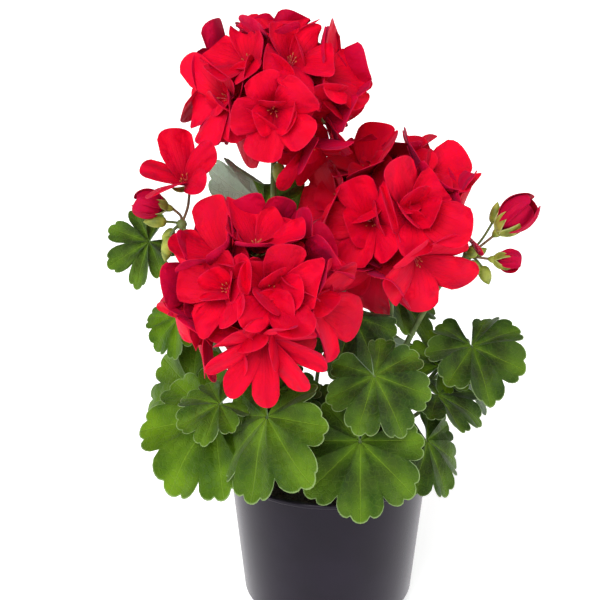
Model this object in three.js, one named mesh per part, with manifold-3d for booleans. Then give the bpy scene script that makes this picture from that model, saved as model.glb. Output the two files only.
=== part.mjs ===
// Red geranium in a round nursery pot: a thin plastic pot, a fill of potting soil, four leafy stems
// that carry scalloped leaves, flower stalks and buds, and the red petals of three full heads and of
// the half open buds.
// Millimetres, +Z up, the front of the plant towards -Y, the pot standing on z = 0 round the Z axis.
import * as THREE from "three";
import { mergeVertices } from "three/addons/utils/BufferGeometryUtils.js";
import Module from "manifold-3d";

const wasm = await Module();
wasm.setup();

// Pot: straight tapered wall, rounded lower corner, small lip, drain slots through the corner.
const potHeight = 95;
const potLipRadius = 60;
const potLipHeight = 3;
const potTopRadius = 58.8;
const potHeelRadius = 50.3;
const potHeelHeight = 11;
const potCornerRadius = 46.6;
const potCornerHeight = 4;
const potBaseRadius = 43;
const potWall = 1.4;
const potSides = 24;
const drainSlots = 6;
const drainSlotWidth = 10;
const drainSlotHeight = 3.2;
const drainSlotInner = 39.5;

// Soil: fills the pot to a little below the lip, with a grainy domed top.
const clearGap = 0.3;
const soilTop = 82;
const soilDome = 2.5;
const soilGrain = 1.1;
const soilSides = 16;
const stemFoot = 46;

// Stems and stalks.
const stemRadius = 3.8;
const flowerStalkRadius = 1.8;
const leafStalkRadius = 1.35;
const budStalkRadius = 0.8;
const cupRadius = 2.1;

// Leaves and petals.
const leafThickness = 1.0;
const petalThickness = 0.8;
const leafSweep = 160;
const leafLobes = 7;
const headStalk = 28.5;
const throatGap = 0.9;
const flowerGap = 0.7;
const flowerLean = 12;
const headClear = 53;
const softness = 3;
const tidyTolerance = 0.02;

const degrees = Math.PI / 180;
const up = new THREE.Vector3(0, 0, 1);

function vector(list) {
  return new THREE.Vector3(list[0], list[1], list[2]);
}

// Direction that looks `turn` degrees to the right of the front and `rise` degrees above level.
function facing(turn, rise) {
  const level = Math.cos(rise * degrees);
  return new THREE.Vector3(
    Math.sin(turn * degrees) * level,
    -Math.cos(turn * degrees) * level,
    Math.sin(rise * degrees),
  );
}

// Repeatable draws between 0 and 1, and a shorter form for a draw between -1 and 1.
function makeDraws(seed) {
  let state = seed;
  return () => {
    state = (state * 16807) % 2147483647;
    return state / 2147483647;
  };
}

function spread(draw) {
  return 2 * draw() - 1;
}

// Closed body from a surface.
function solid(geometry) {
  const bare = new THREE.BufferGeometry();
  bare.setAttribute("position", geometry.getAttribute("position").clone());
  if (geometry.index) {
    bare.setIndex(geometry.index.clone());
  }
  const joined = mergeVertices(bare, 1e-3);
  const body = new wasm.Manifold(new wasm.Mesh({
    numProp: 3,
    vertProperties: new Float32Array(joined.getAttribute("position").array),
    triVerts: new Uint32Array(joined.index.array),
  }));
  if (body.volume() <= 0) {
    throw new Error("a body faces inwards");
  }
  return body;
}

// One body from many that cross: scraps that touch nothing are dropped and sealed hollows filled.
function fuse(bodies) {
  const pieces = wasm.Manifold.union(bodies).decompose().sort((a, b) => b.volume() - a.volume());
  if (pieces.length > 1 && pieces[1].volume() > 5) {
    throw new Error(`a loose piece at ${pieces[1].boundingBox().min}`);
  }
  return pieces[0].simplify(tidyTolerance);
}

// Thin blade: the middle surface thickened equally to both sides, split alike on both faces.
function blade(points, triangles, thickness) {
  const normals = points.map(() => new THREE.Vector3());
  const edges = new Map();
  for (const [a, b, c] of triangles) {
    const side = points[b].clone().sub(points[a]);
    const face = side.cross(points[c].clone().sub(points[a]));
    for (const corner of [a, b, c]) {
      normals[corner].add(face);
    }
    for (const [from, to] of [[a, b], [b, c], [c, a]]) {
      edges.set(`${from},${to}`, [from, to]);
    }
  }
  const count = points.length;
  const corners = new Float32Array(6 * count);
  points.forEach((point, i) => {
    const half = normals[i].normalize().multiplyScalar(thickness / 2);
    point.clone().add(half).toArray(corners, 3 * i);
    point.clone().sub(half).toArray(corners, 3 * (i + count));
  });
  const faces = [];
  for (const [a, b, c] of triangles) {
    faces.push(a, b, c, a + count, c + count, b + count);
  }
  for (const [a, b] of edges.values()) {
    if (!edges.has(`${b},${a}`)) {
      faces.push(a + count, b + count, b, a + count, b, a);
    }
  }
  return new wasm.Manifold(new wasm.Mesh({
    numProp: 3,
    vertProperties: corners,
    triVerts: new Uint32Array(faces),
  }));
}

// Round stalk of one thickness along a curve.
function stalk(curve, radius, sides, steps) {
  const shape = new THREE.Shape();
  for (let i = 0; i < sides; i += 1) {
    const angle = 2 * Math.PI * i / sides;
    const x = radius * Math.cos(angle);
    const y = radius * Math.sin(angle);
    if (i === 0) {
      shape.moveTo(x, y);
    } else {
      shape.lineTo(x, y);
    }
  }
  shape.closePath();
  const settings = { steps, bevelEnabled: false, extrudePath: curve };
  return solid(new THREE.ExtrudeGeometry(shape, settings));
}

function stalkThrough(list, radius, sides, steps) {
  return stalk(new THREE.CatmullRomCurve3(list.map(vector)), radius, sides, steps);
}

// Body turned about an axis through `base`, from pairs of radius and distance along the axis.
function turned(base, axis, profile, sides) {
  const geometry = new THREE.LatheGeometry(profile.map(([r, h]) => new THREE.Vector2(r, h)), sides);
  const turn = new THREE.Quaternion().setFromUnitVectors(new THREE.Vector3(0, 1, 0), axis);
  geometry.applyQuaternion(turn);
  geometry.translate(base.x, base.y, base.z);
  return solid(geometry);
}

// Closed bud with a pointed tip.
function greenBud(base, axis, length, radius) {
  const profile = [[0, -1], [radius, 0.35 * length], [0.7 * radius, 0.75 * length], [0, length]];
  return turned(base, axis, profile, 6);
}

// Green cup under a flower, in which the petals stand.
function calyx(base, axis, length, radius) {
  return turned(base, axis, [[0, -0.8], [radius, 0.7 * length], [0, length]], 5);
}

function softFloor(value, limit) {
  return limit + softness * Math.log(1 + Math.exp((value - limit) / softness));
}

// Centres of the three heads and of the two groups of buds.
const headTop = new THREE.Vector3(-30, 5, 316);
const headLeft = new THREE.Vector3(-40, -62, 224);
const headRight = new THREE.Vector3(34.5, 8, 242);
const budsLeft = new THREE.Vector3(-83, -20, 251);
const budsRight = new THREE.Vector3(80, 12, 220);
const heads = [headTop, headLeft, headRight];

// Leaf edge: seven round lobes, each with three small teeth, deepest at the stalk.
function leafEdge(angle, size) {
  const lobe = 2 * leafSweep / leafLobes;
  const place = 2 * (angle / lobe - Math.round(angle / lobe));
  const length = 0.8 + 0.2 * Math.cos(angle * degrees);
  const notch = 1 - 0.2 * Math.abs(place) ** 3;
  const teeth = 1 + 0.035 * Math.cos(3 * Math.PI * place);
  return { radius: size * length * notch * teeth, place };
}

// Height of the leaf surface over its own plane.
function leafHeight(leaf, angle, share, place) {
  const side = Math.abs(Math.sin(angle * degrees));
  const forward = Math.max(0, Math.cos(angle * degrees));
  return leaf.size * (
    leaf.cup * share * share
    + leaf.fold * side * share
    + 0.07 * place * place * share
    + leaf.wave * share * share * Math.cos(3 * angle * degrees + leaf.phase)
    - leaf.droop * (forward * share) ** 2
  );
}

function leafFrame(leaf) {
  const normal = facing(leaf.turn, leaf.rise);
  const tip = up.clone().negate().addScaledVector(normal, normal.z).normalize();
  tip.applyAxisAngle(normal, leaf.spin * degrees);
  return { normal, tip, across: new THREE.Vector3().crossVectors(normal, tip) };
}

// Leaves stay outside the flower heads.
function clearOfHeads(point) {
  for (const head of heads) {
    const away = point.clone().sub(head);
    const distance = away.length();
    if (distance < headClear + 4 * softness) {
      point.copy(head).addScaledVector(away, softFloor(distance, headClear) / distance);
    }
  }
  return point;
}

function pointOnStem(trunk, height) {
  const above = trunk.findIndex((entry) => entry[2] >= height);
  const [low, high] = [vector(trunk[above - 1]), vector(trunk[above])];
  return low.lerp(high, (height - low.z) / (high.z - low.z));
}

// Leaf on its stalk. The stalk leaves the stem at the height `from` and meets the leaf from below.
function leafWithStalk(leaf, trunk) {
  const { normal, tip, across } = leafFrame(leaf);
  const hub = vector(leaf.hub);
  const points = [hub.clone()];
  const place = (angle, share) => {
    const edge = leafEdge(angle, leaf.size);
    const reach = edge.radius * share;
    const point = hub.clone()
      .addScaledVector(tip, reach * Math.cos(angle * degrees))
      .addScaledVector(across, reach * Math.sin(angle * degrees))
      .addScaledVector(normal, leafHeight(leaf, angle, share, edge.place));
    return clearOfHeads(point);
  };
  for (let i = 0; i <= leafLobes; i += 1) {
    points.push(place(-leafSweep + 2 * leafSweep * i / leafLobes, 0.55));
  }
  const rimCount = leafLobes * leaf.steps;
  for (let i = 0; i <= rimCount; i += 1) {
    points.push(place(-leafSweep + 2 * leafSweep * i / rimCount, 1));
  }
  const triangles = [];
  for (let i = 0; i < leafLobes; i += 1) {
    const ring = 1 + i;
    const rim = 2 + leafLobes + leaf.steps * i;
    triangles.push([0, ring, ring + 1]);
    triangles.push([ring, rim + leaf.steps / 2, ring + 1]);
    for (let j = 0; j < leaf.steps; j += 1) {
      triangles.push([j < leaf.steps / 2 ? ring : ring + 1, rim + j, rim + j + 1]);
    }
  }
  const from = pointOnStem(trunk, leaf.from);
  const out = hub.clone().sub(from).setZ(0);
  out.multiplyScalar(0.25);
  const path = new THREE.CubicBezierCurve3(
    from,
    from.clone().add(out).addScaledVector(up, 16),
    hub.clone().addScaledVector(normal, -16).addScaledVector(tip, -3),
    points[0].clone().addScaledVector(normal, -0.05).addScaledVector(tip, 3.2),
  );
  return [blade(points, triangles, leafThickness), stalk(path, leafStalkRadius, 4, 3)];
}

// Obstacles that petals are bent away from: the stalks, as pairs of ends with a radius.
function alongStalk(list, radius) {
  const ends = list.map(vector);
  return ends.slice(1).map((to, i) => ({ line: new THREE.Line3(ends[i], to), radius }));
}

function clearOfStalks(points, obstacles) {
  const middle = new THREE.Vector3();
  for (const point of points) {
    middle.addScaledVector(point, 1 / points.length);
  }
  for (const { line, radius } of obstacles) {
    const near = line.closestPointToPoint(middle, true, new THREE.Vector3());
    const away = middle.clone().sub(near);
    if (away.length() < 45) {
      keepBeside(points, near, away.normalize(), radius);
    }
  }
}

// Keeps points on the side `away` of a plane, bending the blade up before it.
function keepBeside(points, origin, away, limit) {
  for (const point of points) {
    const reach = point.clone().sub(origin).dot(away);
    if (reach < limit + 4 * softness) {
      point.addScaledVector(away, softFloor(reach, limit) - reach);
    }
  }
}

// Petals of two heads stop at the plane half way between them.
function clearOfOtherHeads(points, ownHead) {
  for (const other of heads) {
    if (other !== ownHead) {
      const middle = ownHead.clone().lerp(other, 0.5);
      keepBeside(points, middle, ownHead.clone().sub(other).normalize(), 1.2);
    }
  }
}

// Outline of a petal as shares of its length, along it and aside.
const frontRim = [[0.5, -0.36], [0.83, -0.36], [1, 0], [0.83, 0.36], [0.5, 0.36]];
const backRim = [[0.68, -0.42], [1.02, 0], [0.68, 0.42]];
const notchShare = 0.26;
const petalSlit = 1;

// Point of a petal: bent outwards along its length, as wide as its share of the ring allows.
function petalPoint(petal, alongShare, asideShare) {
  const along = petal.length * alongShare;
  const start = petal.startRise * degrees;
  const bend = (petal.endRise * degrees - start) / petal.length;
  const rise = start + bend * along;
  const outwards = (Math.sin(rise) - Math.sin(start)) / bend;
  const upwards = -(Math.cos(rise) - Math.cos(start)) / bend;
  const share = outwards * Math.tan(petal.halfRing);
  const room = Math.max(0.55 * share, share - petalSlit);
  const wish = petal.width * petal.length * asideShare;
  const aside = Math.sign(wish) * Math.min(Math.abs(wish), room);
  const lift = petal.cup * (aside * aside) / petal.length + petal.twist * aside
    + petal.ruffle * alongShare * Math.sin(4 * asideShare * petal.waves + petal.phase);
  return petal.foot.clone()
    .addScaledVector(petal.outward, outwards - lift * Math.sin(rise))
    .addScaledVector(petal.axis, upwards + lift * Math.cos(rise))
    .addScaledVector(petal.aside, aside);
}

// Ring of petals grown together at the throat, as one blade.
function petalRing(ring, draw, bendClear) {
  const { axis, foot, count } = ring;
  const level = Math.abs(axis.z) > 0.99
    ? new THREE.Vector3(1, 0, 0)
    : new THREE.Vector3().crossVectors(axis, up).normalize();
  const rim = ring.isBack ? backRim : frontRim;
  const halfRing = Math.PI / count;
  const petals = [];
  for (let i = 0; i < count; i += 1) {
    const outward = level.clone().applyAxisAngle(axis, ring.spin * degrees + 2 * halfRing * i);
    petals.push({
      foot,
      axis,
      outward,
      aside: new THREE.Vector3().crossVectors(axis, outward),
      halfRing,
      length: ring.length * (1 + 0.09 * spread(draw)),
      width: ring.width * (1 + 0.1 * spread(draw)),
      startRise: ring.startRise,
      endRise: ring.endRise + ring.loose * spread(draw),
      cup: ring.cup + 0.1 * spread(draw),
      twist: ring.twist,
      ruffle: ring.ruffle * (0.6 + 0.8 * draw()),
      waves: 0.8 + 0.5 * draw(),
      phase: 6.28 * draw(),
    });
  }
  const points = [foot.clone()];
  const notches = petals.map((petal) => {
    const flat = { ...petal, length: ring.length, endRise: ring.endRise, ruffle: 0, cup: 0, twist: 0 };
    flat.outward = petal.outward.clone().applyAxisAngle(axis, -halfRing);
    return points.push(petalPoint(flat, notchShare, 0)) - 1;
  });
  const triangles = [];
  petals.forEach((petal, i) => {
    const middle = points.push(petalPoint(petal, 0.6, 0)) - 1;
    const edge = rim.map(([along, aside]) => points.push(petalPoint(petal, along, aside)) - 1);
    const outline = [0, notches[i], ...edge, notches[(i + 1) % count]];
    outline.forEach((corner, j) => {
      triangles.push([middle, corner, outline[(j + 1) % outline.length]]);
    });
  });
  bendClear(points);
  return blade(points, triangles, petalThickness);
}

// Flower: a ring of petals, and in a fuller flower a smaller upright ring inside it.
function flower(floret, draw, bendClear) {
  const bodies = [petalRing(floret, draw, bendClear)];
  if (floret.inner) {
    bodies.push(petalRing({
      ...floret,
      count: floret.inner,
      length: 0.62 * floret.length,
      startRise: 60,
      endRise: 66,
      loose: 5,
      twist: 0.05,
      cup: 0,
      ruffle: 0.8,
      spin: floret.spin + 30,
      isBack: true,
    }, draw, bendClear));
  }
  return fuse(bodies);
}

// Directions of the flowers of each head: turn from the front, rise, and how full the flower is.
const headFlowers = [
  {
    name: "petals_head_top",
    centre: headTop,
    seed: 4211,
    flowers: [[-2, 6, 3], [-59, 9, 0], [-48, 50, 0], [25, 53, 0], [72, 32, 0], [79, -15, 0],
      [47, -41, 0], [0, 84, 0], [-114, 18, 0, 1, 54], [180, 20, 0], [122, 12, 0], [180, 60, 0]],
  },
  {
    name: "petals_head_left",
    centre: headLeft,
    seed: 977,
    flowers: [[18, 28, 3, 1, 250], [-34, 27, 3, 1, 290], [8, -21, 3, 1.25, 90], [70, 3, 0],
      [0, 80, 0], [100, 38, 0], [-94, 17, 0], [-75, 55, 0], [-69, -24, 0], [150, 20, 0],
      [-150, 25, 0], [180, 55, 0], [160, -14, 0]],
  },
  {
    name: "petals_head_right",
    centre: headRight,
    seed: 3301,
    flowers: [[-23, 18, 2], [21, 30, 3], [27, -21, 0], [-80, 66, 0], [90, 53, 0, 1.1],
      [-80, 25, 0, 1.1], [85, 10, 0, 1.15], [-24, -41, 0], [150, 20, 0], [-140, 20, 0], [180, 50, 0]],
  },
];

// Stalks of the heads and bud groups, from the stem up.
const stalkTop = [[-8, 26, 90], [-14, 22, 120], [-24, 17, 180], [-32, 9, 250], [-30, 5, 314]];
const stalkLeft = [[-24, -8, 90], [-30, -22, 130], [-38, -46, 178], [-40, -62, 222]];
const stalkRight = [[26, -4, 90], [33, 2, 140], [36, 7, 190], [34.5, 8, 240]];
const stalkBudsLeft = [[-24, -8, 100], [-46, -8, 150], [-70, -8, 205], [-80, -15, 235], [-83, -20, 251]];
const stalkBudsRight = [[26, -4, 100], [38, 2, 145], [44, 6, 163], [57, 12, 188], [68, 14, 206],
  [80, 12, 220]];

function flowerPlaces(head) {
  const draw = makeDraws(head.seed);
  return head.flowers.map(([turn, rise, inner, scale = 1, spin = 72 * draw()]) => {
    const axis = facing(turn, rise);
    const reach = headStalk + 1.5 * spread(draw);
    return {
      axis,
      foot: head.centre.clone().addScaledVector(axis, reach),
      count: 5,
      inner,
      spin,
      length: scale * (31 + 2 * spread(draw)),
      width: 1.1,
      startRise: 50,
      endRise: 2,
      loose: 12,
      cup: 0.12,
      twist: 0.14,
      ruffle: 1.6,
      isBack: Math.abs(turn) > 75,
    };
  });
}

// Pairs of flowers that lean into each other: the nearest pairs that join the whole head.
function leaningPairs(flowers) {
  const joined = [0];
  const pairs = new Set();
  while (joined.length < flowers.length) {
    let best = { closeness: -2 };
    flowers.forEach((floret, i) => {
      for (const j of joined) {
        const closeness = floret.axis.dot(flowers[j].axis);
        if (!joined.includes(i) && closeness > best.closeness) {
          best = { i, j, closeness };
        }
      }
    });
    pairs.add(`${best.i},${best.j}`).add(`${best.j},${best.i}`);
    joined.push(best.i);
  }
  return pairs;
}

function headPetals(head) {
  const draw = makeDraws(head.seed + 1);
  const flowers = flowerPlaces(head);
  const leaning = leaningPairs(flowers);
  return fuse(flowers.map((floret, i) => flower(floret, draw, (points) => {
    clearOfOtherHeads(points, head.centre);
    clearOfStalks(points, petalObstacles);
    flowers.forEach((other, j) => {
      if (j !== i) {
        const away = floret.axis.clone().sub(other.axis);
        const lean = leaning.has(`${i},${j}`) ? -flowerLean * away.length() ** 5 : flowerGap;
        keepBeside(points, head.centre, away.normalize(), lean);
      }
    });
  })));
}

// Thin stalks of one head, each widening into the green cup under its flower.
function headStalks(head) {
  const bodies = [solid(new THREE.OctahedronGeometry(3).translate(...head.centre.toArray()))];
  for (const floret of flowerPlaces(head)) {
    const length = floret.foot.distanceTo(head.centre) - throatGap;
    const profile = [[0, 0], [budStalkRadius, 1], [budStalkRadius, length - 6], [cupRadius, length - 1.5],
      [0, length]];
    bodies.push(turned(head.centre, floret.axis, profile, 4));
  }
  return bodies;
}

// Bud groups. Places are distances from the middle of the group.
const budGroups = {
  top: {
    centre: headTop,
    green: [{ foot: [1, -9, -35], tip: [1.6, -10, -48], radius: 3.6 }],
    red: [],
  },
  left: {
    centre: budsLeft,
    green: [
      { foot: [-9, -2, 2.4], tip: [-21, -4, 3], radius: 3.5 },
      { foot: [-6.7, -5, -6], tip: [-9.5, -6, -20], radius: 3.7 },
      { foot: [-5, 1, -4], tip: [-11.5, 2, -10], radius: 2.8 },
      { foot: [2, -2, -3], tip: [5.5, -4, -9], radius: 2.8 },
    ],
    red: [
      {
        name: "petals_floret_left", foot: [3.4, -4, 25], axis: [-0.25, -0.5, 0.83], count: 5, spin: 10,
        seed: 57, length: 32, width: 1, startRise: 62, endRise: 22, cup: 0.3, ruffle: 1.2,
        twist: 0.16, cupLength: 5, cupRadius: 2.1, sepals: 3, sepalLength: 11, sepalRise: -8,
      },
      {
        name: "petals_bud_left", foot: [-10, -1, 10.8], axis: [-0.93, -0.2, 0.31], count: 5, spin: 20,
        seed: 91, length: 17, width: 1.2, startRise: 46, endRise: 96, cup: 0.6, ruffle: 0.3,
        twist: 0.08, cupLength: 5, cupRadius: 2.4, sepals: 3, sepalLength: 12, sepalRise: 24,
      },
    ],
  },
  right: {
    centre: budsRight,
    green: [
      { foot: [14.4, 6, 18.3], tip: [17, 8, 30], radius: 3 },
      { foot: [1, -3, 1], tip: [4.6, -5, 8.6], radius: 3.6 },
      { foot: [5, 0, 0.6], tip: [11, 0, 4.3], radius: 2.5 },
      { foot: [1.7, -3, -3], tip: [7.5, -4, -10.4], radius: 3.2 },
      { foot: [8.6, -2, -6.7], tip: [12.7, -3, -17], radius: 3.8 },
      { foot: [-3, 2, 7], tip: [-6, 3, 13], radius: 2.4 },
    ],
    red: [
      {
        name: "petals_bud_right", foot: [18.4, 0, 15.9], axis: [0.7, -0.05, 0.71], count: 5, spin: 0,
        seed: 23, length: 26, width: 1.2, startRise: 50, endRise: 98, cup: 0.8, ruffle: 0.4,
        twist: 0.08, cupLength: 5, cupRadius: 2.8, sepals: 4, sepalLength: 16, sepalRise: 22,
      },
      {
        name: "petals_bud_right_small", foot: [16.7, -3, -1.6], axis: [0.99, -0.06, -0.1], count: 5,
        seed: 67, spin: 30, length: 14.5, width: 1.2, startRise: 36, endRise: 104, cup: 0.5,
        ruffle: 0.3, twist: 0.08, cupLength: 4, cupRadius: 2.4, sepals: 3, sepalLength: 11, sepalRise: 14,
      },
    ],
  },
};

// What the petals of the heads are bent away from.
const petalObstacles = [stalkTop, stalkLeft, stalkRight, stalkBudsLeft, stalkBudsRight]
  .flatMap((list) => alongStalk(list, flowerStalkRadius + 0.9));
for (const group of Object.values(budGroups)) {
  const place = (offset) => group.centre.clone().add(vector(offset)).toArray();
  for (const bud of group.green) {
    petalObstacles.push(...alongStalk([group.centre.toArray(), place(bud.foot)], budStalkRadius + 0.9));
    petalObstacles.push(...alongStalk([place(bud.foot), place(bud.tip)], bud.radius + 0.9));
  }
  for (const entry of group.red) {
    petalObstacles.push(...alongStalk([group.centre.toArray(), place(entry.foot)], 3));
  }
}

function openingFlower(group, entry) {
  const axis = vector(entry.axis).normalize();
  const foot = group.centre.clone().add(vector(entry.foot));
  return { ...entry, axis, foot, inner: 0, loose: 4, isBack: false };
}

function budPetals(group, entry) {
  return flower(openingFlower(group, entry), makeDraws(entry.seed), () => {});
}

// Pointed green sepal that bends up outside the petals.
function sepal(foot, axis, outward, entry) {
  const shape = {
    foot,
    axis,
    outward,
    aside: new THREE.Vector3().crossVectors(axis, outward),
    halfRing: 1.2,
    length: entry.sepalLength,
    width: 1,
    startRise: entry.sepalRise,
    endRise: entry.sepalRise + 62,
    cup: 0.4,
    twist: 0,
    ruffle: 0,
    waves: 0,
    phase: 0,
  };
  const rim = [[0, -0.1], [0.4, -0.17], [1, 0], [0.4, 0.17], [0, 0.1]];
  const points = rim.map(([along, aside]) => petalPoint(shape, along, aside));
  points[0].addScaledVector(shape.aside, -0.9);
  points[4].addScaledVector(shape.aside, 0.9);
  return blade(points, [[0, 4, 3], [0, 3, 1], [1, 3, 2]], petalThickness);
}

// Stalks, green buds, and the cup and sepals round every opening flower of a bud group.
function budStalks(group) {
  const { centre } = group;
  const bodies = [solid(new THREE.OctahedronGeometry(3.2).translate(...centre.toArray()))];
  const reach = (foot, axis) => {
    const middle = centre.clone().lerp(foot, 0.6).addScaledVector(axis, -2.5);
    bodies.push(stalk(new THREE.CatmullRomCurve3([centre, middle, foot]), budStalkRadius, 3, 2));
  };
  for (const bud of group.green) {
    const foot = centre.clone().add(vector(bud.foot));
    const axis = vector(bud.tip).sub(vector(bud.foot));
    const length = axis.length();
    axis.normalize();
    reach(foot, axis);
    bodies.push(greenBud(foot, axis, length, bud.radius));
  }
  for (const entry of group.red) {
    const { foot, axis } = openingFlower(group, entry);
    const base = foot.clone().addScaledVector(axis, -throatGap - entry.cupLength);
    reach(base, axis);
    bodies.push(calyx(base, axis, entry.cupLength, entry.cupRadius));
    const level = new THREE.Vector3().crossVectors(axis, up).normalize();
    for (let i = 0; i < entry.sepals; i += 1) {
      const outward = level.clone().applyAxisAngle(axis, 2 * Math.PI * (i + 0.35) / entry.sepals);
      bodies.push(sepal(base.clone().addScaledVector(axis, 0.6 * entry.cupLength), axis, outward, entry));
    }
  }
  return bodies;
}

function leaf(hub, size, turn, rise, spin, from, shape = {}) {
  return {
    hub, size, turn, rise, spin, from, steps: 4, cup: -0.08, fold: 0, wave: 0.06, phase: 0, droop: 0.1,
    ...shape,
  };
}

// Leafy stems: standing place in the soil, stalks and leaves. A leaf is given by its middle, size,
// the direction it faces (turn and rise), the turn of its tip, and its height on the stem.
const leafyStems = [
  {
    name: "leafy_stem_front",
    trunk: [[2, -26, stemFoot], [2, -26, 86], [3, -31, 106]],
    leaves: [
      leaf([16.5, -66, 139], 44, 0, 32, 0, 98, { steps: 6, droop: 0.08, phase: 1 }),
      leaf([-2, -46, 142], 30, 5, 45, 0, 104, { phase: 2 }),
    ],
  },
  {
    name: "leafy_stem_left",
    trunk: [[-24, -8, stemFoot], [-24, -8, 84], [-26, -12, 112]],
    stalks: [stalkLeft, stalkBudsLeft],
    heads: [headFlowers[1]],
    buds: budGroups.left,
    leaves: [
      leaf([-35, -72, 157], 47, -52, 36, 16, 106, { steps: 6, fold: -0.12, phase: 0.5 }),
      leaf([-65.5, -40, 142], 50, -28, 42, -22, 102, { steps: 6, phase: 2.2 }),
      leaf([-79, -14, 146], 40, -42, 36, -62, 98, { phase: 4 }),
      leaf([-62, -56, 157], 26, -20, 62, -50, 108, { phase: 1 }),
      leaf([-30, -46, 160], 27, 5, 50, 10, 110, { phase: 0 }),
      leaf([-87, -2, 187], 25, -40, 35, -30, 104, { phase: 2 }),
      leaf([-103, 0, 233], 29, -20, 30, -55, 107, { phase: 1, fold: 0.1 }),
      leaf([-74, 30, 150], 34, -115, 40, 0, 100, { steps: 2, phase: 3 }),
    ],
  },
  {
    name: "leafy_stem_right",
    trunk: [[26, -4, stemFoot], [26, -4, 84], [28, -2, 114]],
    stalks: [stalkRight, stalkBudsRight],
    heads: [headFlowers[2]],
    buds: budGroups.right,
    leaves: [
      leaf([24, -59, 176], 36, 12, 38, 22, 108, { steps: 6, phase: 2 }),
      leaf([56, -31, 122], 34, 52, 32, 0, 98, { phase: 0 }),
      leaf([65, 4, 153], 26, 10, 40, 140, 104, { phase: 1 }),
      leaf([63, -10, 141], 30, 60, 70, 20, 102, { phase: 4 }),
      leaf([84, 10, 163], 36, 8, 58, 10, 106, { steps: 6, fold: 0.25, phase: 2 }),
      leaf([13, -20, 196], 30, 30, 28, 45, 110, { phase: 0 }),
      leaf([40, 30, 186], 30, 60, 60, 0, 110, { steps: 2, phase: 3 }),
      leaf([76, 40, 140], 38, 115, 38, 0, 100, { steps: 2, phase: 5 }),
    ],
  },
  {
    name: "leafy_stem_back",
    trunk: [[-8, 26, stemFoot], [-8, 26, 84], [-10, 24, 116]],
    stalks: [stalkTop],
    heads: [headFlowers[0]],
    buds: budGroups.top,
    leaves: [
      leaf([-38, 18, 249], 38, -30, -20, 200, 112, { fold: 0.3, phase: 1 }),
      leaf([-26, 68, 150], 40, -165, 42, 0, 104, { steps: 2, phase: 1 }),
      leaf([25, 72, 142], 40, 165, 42, 0, 102, { steps: 2, phase: 3 }),
      leaf([0, 58, 188], 36, 180, 48, 0, 112, { steps: 2, phase: 0 }),
      leaf([-56, 42, 196], 34, -120, 40, 0, 113, { steps: 2, phase: 4 }),
    ],
  },
];

function leafyStem(plan) {
  const bodies = [stalkThrough(plan.trunk, stemRadius, 6, 3)];
  for (const list of plan.stalks ?? []) {
    bodies.push(stalkThrough(list, flowerStalkRadius, 4, 6));
  }
  for (const head of plan.heads ?? []) {
    bodies.push(...headStalks(head));
  }
  if (plan.buds) {
    bodies.push(...budStalks(plan.buds));
  }
  for (const entry of plan.leaves) {
    bodies.push(...leafWithStalk(entry, plan.trunk));
  }
  return fuse(bodies);
}

function pot() {
  const inner = (radius) => radius - potWall;
  const profile = [
    [0, 0],
    [potBaseRadius, 0],
    [potCornerRadius, potCornerHeight],
    [potHeelRadius, potHeelHeight],
    [potTopRadius, potHeight - potLipHeight],
    [potLipRadius, potHeight - potLipHeight + 0.6],
    [potLipRadius, potHeight - 0.5],
    [potLipRadius - 0.6, potHeight],
    [inner(potTopRadius) + 0.2, potHeight],
    [inner(potHeelRadius), potHeelHeight + 0.4],
    [inner(potBaseRadius), potWall + 0.2],
    [0, potWall + 0.2],
  ];
  let body = turned(new THREE.Vector3(), up, profile, potSides);
  for (let i = 0; i < drainSlots; i += 1) {
    const slot = new THREE.BoxGeometry(20, drainSlotWidth, 2 * drainSlotHeight);
    slot.translate(drainSlotInner + 10, 0, 0);
    slot.rotateZ(2 * Math.PI * (i + 0.5) / drainSlots);
    body = body.subtract(solid(slot));
  }
  return body;
}

function soil() {
  const low = potWall + 0.2 + clearGap;
  const wallAt = (height) => {
    const share = (height - potHeelHeight) / (potHeight - potLipHeight - potHeelHeight);
    return potHeelRadius + share * (potTopRadius - potHeelRadius) - potWall - clearGap - 0.8;
  };
  const edge = wallAt(soilTop);
  const profile = [
    [0, low],
    [potBaseRadius - potWall - 1, low],
    [potCornerRadius - potWall - 1, potCornerHeight + 1.6],
    [wallAt(potHeelHeight + 1), potHeelHeight + 1],
    [edge, soilTop - 1],
    [0.75 * edge, soilTop + 0.5 * soilDome],
    [0.4 * edge, soilTop + soilDome],
    [0, soilTop + soilDome],
  ];
  const shape = new THREE.LatheGeometry(profile.map(([r, h]) => new THREE.Vector2(r, h)), soilSides);
  shape.rotateX(Math.PI / 2);
  const corners = shape.getAttribute("position");
  for (let i = 0; i < corners.count; i += 1) {
    const [x, y, z] = [corners.getX(i), corners.getY(i), corners.getZ(i)];
    if (z > soilTop - 0.5) {
      corners.setZ(i, z + soilGrain * Math.sin(0.9 * x) * Math.cos(1.1 * y));
    }
  }
  let body = solid(shape);
  for (const plan of leafyStems) {
    const hole = new THREE.CylinderGeometry(stemRadius + 0.9, stemRadius + 0.9, 60, 8);
    hole.rotateX(Math.PI / 2);
    hole.translate(plan.trunk[0][0], plan.trunk[0][1], stemFoot - clearGap + 30);
    body = body.subtract(solid(hole));
  }
  return body;
}

const plant = new THREE.Group();
plant.name = "potted_geranium";

function addNode(name, body, color, roughness) {
  const result = body.getMesh();
  const geometry = new THREE.BufferGeometry();
  geometry.setAttribute("position", new THREE.BufferAttribute(result.vertProperties, 3));
  geometry.setIndex(new THREE.BufferAttribute(result.triVerts, 1));
  const mesh = new THREE.Mesh(geometry, new THREE.MeshStandardMaterial({ color, roughness }));
  mesh.name = name;
  plant.add(mesh);
}

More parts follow.
